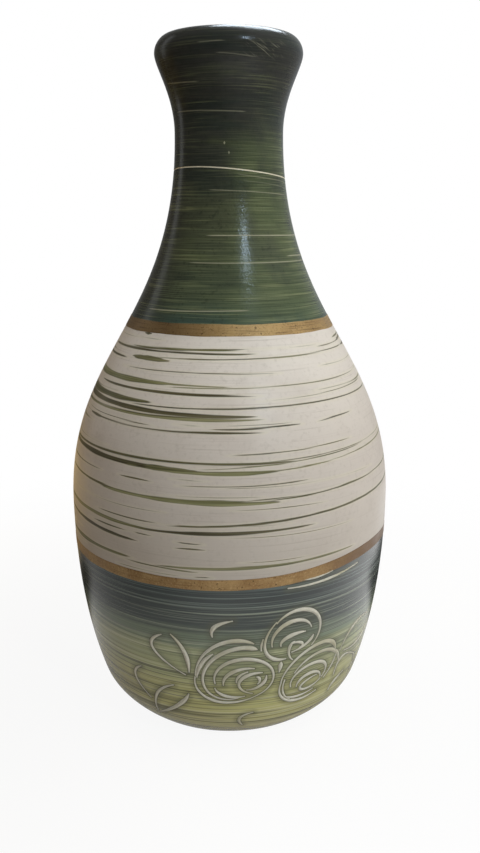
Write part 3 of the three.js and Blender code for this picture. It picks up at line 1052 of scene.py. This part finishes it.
# Painted shade: the cream is darker towards the bottom of the belly.
cream = height_colours(height, [
    (112, 189, 178, 166),
    (160, 203, 192, 181),
    (240, 219, 210, 199),
])
cream = paint(cream, CLOUDED_CREAM, ease(cloudy, 0.45, 0.8, 0.0, 0.5))
cream = paint(cream, GRITTY_CREAM, ease(grit, 0.5, 0.75, 0.0, 0.25))
cream = paint(cream, BRISTLE_BROWN, ease(hairs, 0.58, 0.76, 0.0, 0.25))
reach = read_kept(tree, "streak")
cream = paint(cream, STREAK_HALO, ease(reach, -1.5 * mm, -0.1 * mm, 0.0, 0.25))
broken = calc("ADD", reach, times(calc("SUBTRACT", hairs, 0.5), 1.3 * mm))
grain = times(calc("ADD", dragged, hairs), 0.5)
olive = paint(DARK_OLIVE, PALE_OLIVE, ease(grain, 0.38, 0.62))
deep_green = paint(DARKEST_GREEN, DEEP_GREEN, ease(grain, 0.38, 0.62))
green = paint(olive, deep_green, ease(read_kept(tree, "streak_dark"), 0.15, 0.85))
green = paint(green, deep_green, ease(broken, 0.5 * mm, 0.15 * mm, 0.0, 0.6))
slip = paint(cream, green, ease(broken, -0.2 * mm, 0.26 * mm))
set_input(shader.inputs["Base Color"], slip)
set_input(shader.inputs["Roughness"], ease(cloudy, 0.3, 0.7, 0.42, 0.56))
bumped(shader, calc("ADD", calc("ADD", hairs, dragged), times(grit, 0.6)), 0.09 * mm)

belly_low, belly_high = length_at(LOWER_SEAM + SEAT_GAP), length_at(UPPER_SEAM - SEAT_GAP)
points, shows, where, onward = coat_section(belly_low, belly_high, BELLY_SPACING)
lifts = rounded_off(near_edge(where, belly_low, BAND_CLIMB_FADE))
belly_coat = turn(
    "belly_coat_brushed", points, cream_slip, shows, lifts, onward=onward, columns=140,
    ridge_depth=0.08 * mm, ridges_per_metre=380.0, seed=2.0, **BAND_CLIMB,
)
chance = np.random.default_rng(7)
back_streaks = dragged_round(chance)
back_streaks += hairs_beside(chance, back_streaks)
lay_streaks(belly_coat.data, [*BELLY_STREAKS, *back_streaks, *stray_hairs(chance)])
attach(belly_coat, "root")
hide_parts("belly_coat")

# Upper gold band
# The same gold lustre, laid with the same banding brush over the seam of belly and neck.
# It runs level all the way round, and a painted sheen makes it brighter than the lower one.
gold_band("upper_gold_band_painted", "upper_gold_band", UPPER_BAND_LOW, UPPER_BAND_HIGH, seed=9.0)

# Neck coat
# Dark green glaze, brushed round on the wheel in several thin passes that leave pale hair lines.
# It is greener and bluer towards the gold, and ends at a ring scratched round the neck by hand.
NECK_LINE_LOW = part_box("neck_coat")[1].z
NECK_LINE_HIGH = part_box("rim_coat")[0].z
NECK_LINE_TILT = 6.3 * mm  # the ring was cut by hand and drops on the right
NECK_LINE_DROP = 0.77 * NECK_LINE_TILT
NECK_LINE = {"lift": NECK_LINE_TILT, "lift_side": math.radians(-45), "lift_power": 1.3}
NECK_LINE_FADE = 40 * mm
CREPT_IN = 0.6 * mm  # the glaze ran into the cut from both sides before it set
RING_DEPTH = 0.3  # of the glaze's thickness
NECK_SPACING = 0.4 * mm
GREEN_COLUMNS = 160
GREEN_RIDGES = {"ridge_depth": 0.06 * mm, "ridges_per_metre": 450.0}

# Hairs that the brush left bare, written as the streaks on the belly are, but the last number is
# how faint each one is.
NECK_HAIRS = [
    (-24, 90, 292.0, 292.0, 0.30, 0.6, 0.1),
    (-36, 90, 277.5, 277.5, 0.26, 0.7, 0.3),
    (47, 90, 280.6, 280.6, 0.30, 0.5, 0.1),
    (-58, 14, 251.6, 252.6, 0.30, 0.3, 0.3),
    (-24, 76, 316.6, 314.2, 0.26, 0.6, 0.5),
    (4, 80, 325.0, 320.8, 0.24, 0.7, 0.6),
    (10, 84, 321.6, 317.6, 0.22, 0.6, 0.7),
]

PEBBLED_SIDE = (0.42, -0.91, 0.0)
LIT_NECK_SIDE = (0.75, -0.66, 0.0)
SCUFFED_SIDE = (0.47, -0.883, 0.0)
SCUFFED_HEIGHT = 388 * mm
SCUFF_DROP = 25 * mm
PEEL_DEPTH = 0.11 * mm
BLUE_PASS = srgb(38, 46, 42)
DARK_MOTTLE = srgb(36, 42, 33)
OLIVE_PASS = srgb(88, 95, 60)
SHADED_GREEN = srgb(50, 49, 41)
PATCHY_GREEN_AND_LIGHT = srgb(90, 101, 64)
PALE_HAIR = srgb(136, 140, 98)
FINE_PALE_HAIR = srgb(116, 122, 88)
FINE_DARK_HAIR = srgb(32, 36, 29)
SCUFF = srgb(150, 146, 124)
BARE_HAIR = srgb(172, 168, 140)
BARE_RING = srgb(222, 213, 188)
dark_glaze, tree, shader = new_finish("dark_green_glaze", Specular_IOR_Level=0.35)
place, side, height = wheel_place(tree)
passes = brush_lines(side, height, around=0.7, per_metre=70.0, seed=41.0, detail=3.0)
hair_lines = brush_lines(side, height, around=0.9, per_metre=1250.0, seed=43.0, detail=1.0)
fine_hairs = brush_lines(side, height, around=1.2, per_metre=2200.0, seed=47.0, detail=1.0)
mottled = noise(place, scale=420.0, detail=3.0, roughness=0.6)
patchy = noise(place, scale=38.0, detail=3.0)
deep = height_colours(height, [
    (240, 58, 76, 68),
    (262, 71, 79, 59),
    (300, 74, 78, 58),
    (335, 54, 56, 49),
    (370, 50, 50, 45),
    (400, 48, 48, 45),
])
deep = paint(deep, BLUE_PASS, ease(passes, 0.48, 0.32, 0.0, 0.55))
deep = paint(deep, DARK_MOTTLE, ease(mottled, 0.48, 0.3, 0.0, 0.4))
deep = paint(deep, OLIVE_PASS, ease(passes, 0.52, 0.70, 0.0, 0.35))
shaded = turned_to(side, LIT_NECK_SIDE, 0.3, -0.4, 0.0, 0.75)
deep = paint(deep, SHADED_GREEN, times(shaded, ease(height, 335 * mm, 300 * mm)))
# Towards the lit right the glaze is painted greener in patches: partly its own colour, partly painted light.
lit_green_patches = times(turned_to(side, LIT_NECK_SIDE, 0.5, 0.95, 0.0, 0.5), ease(patchy, 0.3, 0.6))
deep = paint(deep, PATCHY_GREEN_AND_LIGHT, times(lit_green_patches, ease(height, 365 * mm, 330 * mm)))
faded = times(ease(height, 315 * mm, 350 * mm, 0.55, 0.2), ease(patchy, 0.35, 0.65, 0.35, 1.0))
deep = paint(deep, PALE_HAIR, times(ease(hair_lines, 0.56, 0.72), faded))
deep = paint(deep, FINE_PALE_HAIR, times(ease(fine_hairs, 0.54, 0.70), faded))
deep = paint(deep, FINE_DARK_HAIR, ease(fine_hairs, 0.46, 0.32, 0.0, 0.4))
slanting = calc("ADD", height, times(parted(side)["X"], SCUFF_DROP))
scuffs = brush_lines(side, slanting, around=5.0, per_metre=1000.0, seed=53.0)
off_height = calc("ABSOLUTE", calc("SUBTRACT", height, SCUFFED_HEIGHT))
scuffed = times(turned_to(side, SCUFFED_SIDE, 0.94, 0.99, 0.0, 0.5), ease(off_height, 6 * mm, 1 * mm))
deep = paint(deep, SCUFF, times(ease(scuffs, 0.55, 0.68), scuffed))
faint = ease(read_kept(tree, "streak_dark"), 0.0, 1.0, 0.8, 0.1)
deep = paint(deep, BARE_HAIR, times(ease(read_kept(tree, "streak"), -0.2 * mm, 0.2 * mm), faint))
deep = paint(BARE_RING, deep, ease(read_kept(tree, "shows"), 0.4, 0.6))
set_input(shader.inputs["Base Color"], deep)
set_input(shader.inputs["Roughness"], ease(passes, 0.3, 0.7, 0.18, 0.26))
pebbled = turned_to(side, PEBBLED_SIDE, 0.7, 0.95, 0.15, 1.0)
peel = times(noise(place, scale=620.0, detail=2.0), pebbled)
bumped(shader, calc("ADD", times(hair_lines, 0.11), peel), PEEL_DEPTH)

neck_low = length_at(UPPER_SEAM + SEAT_GAP)
neck_high = length_at(NECK_LINE_LOW - NECK_LINE_DROP + CREPT_IN)
points, shows, where, onward = coat_section(neck_low, neck_high, NECK_SPACING, edge_drop=RING_DEPTH)
neck_coat = turn(
    "neck_coat_brushed", points, dark_glaze, shows, near_edge(where, neck_high, NECK_LINE_FADE),
    onward=onward, columns=GREEN_COLUMNS, seed=6.0, **NECK_LINE, **GREEN_RIDGES,
)
lay_streaks(neck_coat.data, NECK_HAIRS)
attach(neck_coat, "root")
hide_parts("neck_coat")

# Rim coat
# The same dark glaze above the scratched ring, carried over the rolled lip and down into the throat.
# It was brushed on in one go with the neck coat, and the ring was cut between them afterwards.
RIM_SPACING = 0.42 * mm
RIM_HAIRS = [
    (-68, 20, 358.7, 357.4, 0.30, 0.3, 0.6),
    (-27, 0, 391.0, 391.0, 0.28, 0.5, 0.65),
    (-13, 25, 385.7, 383.8, 0.28, 0.5, 0.7),
    (-74, -24, 374.0, 372.0, 0.34, 0.4, 0.6),
    (-5.2, -3.8, 341.0, 341.3, 0.75, 0.5, 0.0),
    (-1.2, 1.0, 338.4, 334.4, 0.95, 0.5, 0.1),
]
rim_low, rim_high = length_at(NECK_LINE_HIGH - NECK_LINE_DROP - CREPT_IN), lengths[-1]
points, shows, where, onward = coat_section(rim_low, rim_high, RIM_SPACING, edge_drop=RING_DEPTH)
rim_coat = turn(
    "rim_coat_brushed", points, dark_glaze, shows, near_edge(where, rim_low, NECK_LINE_FADE),
    onward=onward, columns=GREEN_COLUMNS, seed=7.0, **NECK_LINE, **GREEN_RIDGES,
)
lay_streaks(rim_coat.data, RIM_HAIRS)
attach(rim_coat, "root")
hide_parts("rim_coat")

# Floor
# A pale, plain floor that reads as white in the picture and keeps a soft shadow under the vase.
# The glaze mirrors it brighter on the right, and dimmer at the foot, on the left and close behind.
FLOOR_SIZE = 8.0
LIT_TONE = (0.85, 0.84, 0.82, 1.0)
DIM_TONE = (0.36, 0.31, 0.24, 1.0)
WARM_TONE = (1.0, 0.7, 0.28, 1.0)
WHITE = (1.0, 1.0, 1.0, 1.0)
NEAR_WHITENESS = 0.92
SHADOW_START, SHADOW_REACH = 0.1, 0.55
FRONT_GLOSS, BACK_GLOSS = 0.8, 0.04
LEFT_GLOSS, RIGHT_GLOSS = 0.38, 1.6
FOOT_GLOSS, FAR_GLOSS = 0.3, 0.22
NEAR_WARM_GLOSS, FAR_WARM_GLOSS = 0.25, 1.2


def rays(tree):
    """Whether a ray is the camera's own, straight or through glass, and whether it is a mirrored one."""
    path = add_node(tree, "ShaderNodeLightPath").outputs
    return calc("MAXIMUM", path["Is Camera Ray"], path["Is Transmission Ray"]), path["Is Glossy Ray"]


floor_mesh = bpy.data.meshes.new("floor")
half = FLOOR_SIZE / 2
corners = [(-half, -half, 0), (half, -half, 0), (half, half, 0), (-half, half, 0)]
floor_mesh.from_pydata(corners, [], [(0, 1, 2, 3)])
floor = new_object("floor", floor_mesh)
pale_floor, tree, shader = new_finish("pale_floor", Roughness=0.9)
straight, mirrored = rays(tree)
# Places on the floor are in metres from the foot of the vase: right of it, behind it, and away from it.
place = add_node(tree, "ShaderNodeTexCoord").outputs["Object"]
rightward, backward = parted(place)["X"], parted(place)["Y"]
distance = vector_calc("DISTANCE", place, (0.0, 0.0, 0.0))
whiteness = ease(distance, SHADOW_START, SHADOW_REACH, NEAR_WHITENESS, 1.0)
set_input(shader.inputs["Base Color"], paint(DIM_TONE, LIT_TONE, ease(rightward, -0.2, 0.08)))
behind = times(
    ease(backward, 0.045, 0.11),
    ease(backward, 0.3, 0.24),
    ease(calc("ABSOLUTE", rightward), 0.29, 0.22),
)
near_gloss = times(
    ease(backward, -0.2, 0.02, FRONT_GLOSS, 1.0),
    ease(distance, 0.45, 0.75, 1.0, FAR_GLOSS),
    ease(rightward, -0.25, 0.0, LEFT_GLOSS, 1.0),
    ease(rightward, 0.1, 0.35, 1.0, RIGHT_GLOSS),
    ease(distance, 0.07, 0.2, FOOT_GLOSS, 1.0),
    ease(behind, 0.0, 1.0, 1.0, BACK_GLOSS),
)
# Behind on the left the floor shows warm, in reflections only: a painted warm reflection.
warm_side = times(ease(rightward, 0.0, -0.12), ease(backward, 0.14, 0.24))
warm_gloss = times(
    warm_side,
    ease(backward, 0.3, 0.55, NEAR_WARM_GLOSS, FAR_WARM_GLOSS),
    ease(distance, 0.75, 1.3, 1.0, 0.0),
)
white = add_node(tree, "ShaderNodeEmission", {
    "Color": paint(WHITE, WARM_TONE, times(mirrored, warm_side)),
    "Strength": calc("ADD", straight, times(mirrored, calc("ADD", near_gloss, warm_gloss))),
})
mixed = add_node(tree, "ShaderNodeMixShader", {"Fac": calc("MAXIMUM", times(straight, whiteness), mirrored)})
tree.links.new(shader.outputs[0], mixed.inputs[1])
tree.links.new(white.outputs[0], mixed.inputs[2])
tree.links.new(mixed.outputs[0], tree.nodes["Material Output"].inputs["Surface"])
floor_mesh.materials.append(pale_floor)

# Light
# Soft studio light: a large panel high on the right, a narrow window that makes the highlight on the neck,
# a panel overhead on the left and a weak warm lamp low behind it. A strip behind on the left and a high
# panel behind on the right put reflections on the edge and the lip, and the surround is dim on the left.
AIM_HEIGHT = 220 * mm
LIT_FROM = (0.6, 0.0, 0.7)
DIM_AMBIENT = (0.11, 0.092, 0.07, 1.0)
LIT_AMBIENT = (0.25, 0.24, 0.225, 1.0)
OPEN_SIDE = (0.8, 0.5, 0.3)
DIM_SIDE = (0.1, 0.096, 0.088, 1.0)
LIT_SIDE = (0.36, 0.38, 0.4, 1.0)

world = bpy.data.worlds.new("studio")
bpy.context.scene.world = world
world.use_nodes = True
tree = world.node_tree
straight, mirrored = rays(tree)
towards = add_node(tree, "ShaderNodeTexCoord").outputs["Generated"]
ambient = paint(DIM_AMBIENT, LIT_AMBIENT, turned_to(towards, LIT_FROM, -0.6, 0.8))
reflected = paint(DIM_SIDE, LIT_SIDE, turned_to(towards, OPEN_SIDE, -0.1, 0.85))
surround = paint(ambient, reflected, mirrored)
set_input(tree.nodes["Background"].inputs["Color"], paint(surround, WHITE, straight))


def panel(name, bearing, elevation, distance, width, tall, power, colour, mirrored=True, lights=True):
    """A lamp aimed at the vase. The bearing is from the camera's side, to the right, and in degrees as the
    elevation is; the sizes are in metres. It may be left out of reflections, or show only in them."""
    lamp = bpy.data.lights.new(name, "AREA")
    lamp.shape = "RECTANGLE"
    lamp.size, lamp.size_y = width, tall
    lamp.energy = power
    lamp.color = colour
    made = new_object(name, lamp)
    a, e = math.radians(bearing), math.radians(elevation)
    away = Vector((math.sin(a) * math.cos(e), -math.cos(a) * math.cos(e), math.sin(e)))
    made.location = Vector((0.0, 0.0, AIM_HEIGHT)) + away * distance
    made.rotation_euler = away.to_track_quat("Z", "Y").to_euler()
    made.visible_camera = False
    made.visible_glossy = mirrored
    made.visible_diffuse = lights


panel("main_panel", 72, 52, 1.7, 1.6, 1.6, 19.8, (1.0, 0.98, 0.94), mirrored=False)
panel("window", 28, 34, 1.8, 0.08, 0.24, 4.6, (0.62, 0.8, 1.0))
panel("window_glow", 28, 34, 1.8, 0.08, 0.3, 4.1, (0.78, 0.92, 1.0), mirrored=False)
panel("left_panel", -110, 76, 1.6, 0.9, 1.4, 6.8, (1.0, 0.95, 0.9), mirrored=False)
panel("warm_bounce", -132, -22, 0.45, 0.25, 0.2, 0.4, (1.0, 0.62, 0.1), mirrored=False)
panel("left_strip", -117, 20, 1.6, 0.34, 1.4, 0.85, (0.95, 0.98, 1.0))
panel("sky_panel", 160, 62, 1.5, 0.8, 0.9, 23.0, (0.8, 0.9, 1.0), lights=False)

bpy.context.scene.view_settings.view_transform = "Standard"
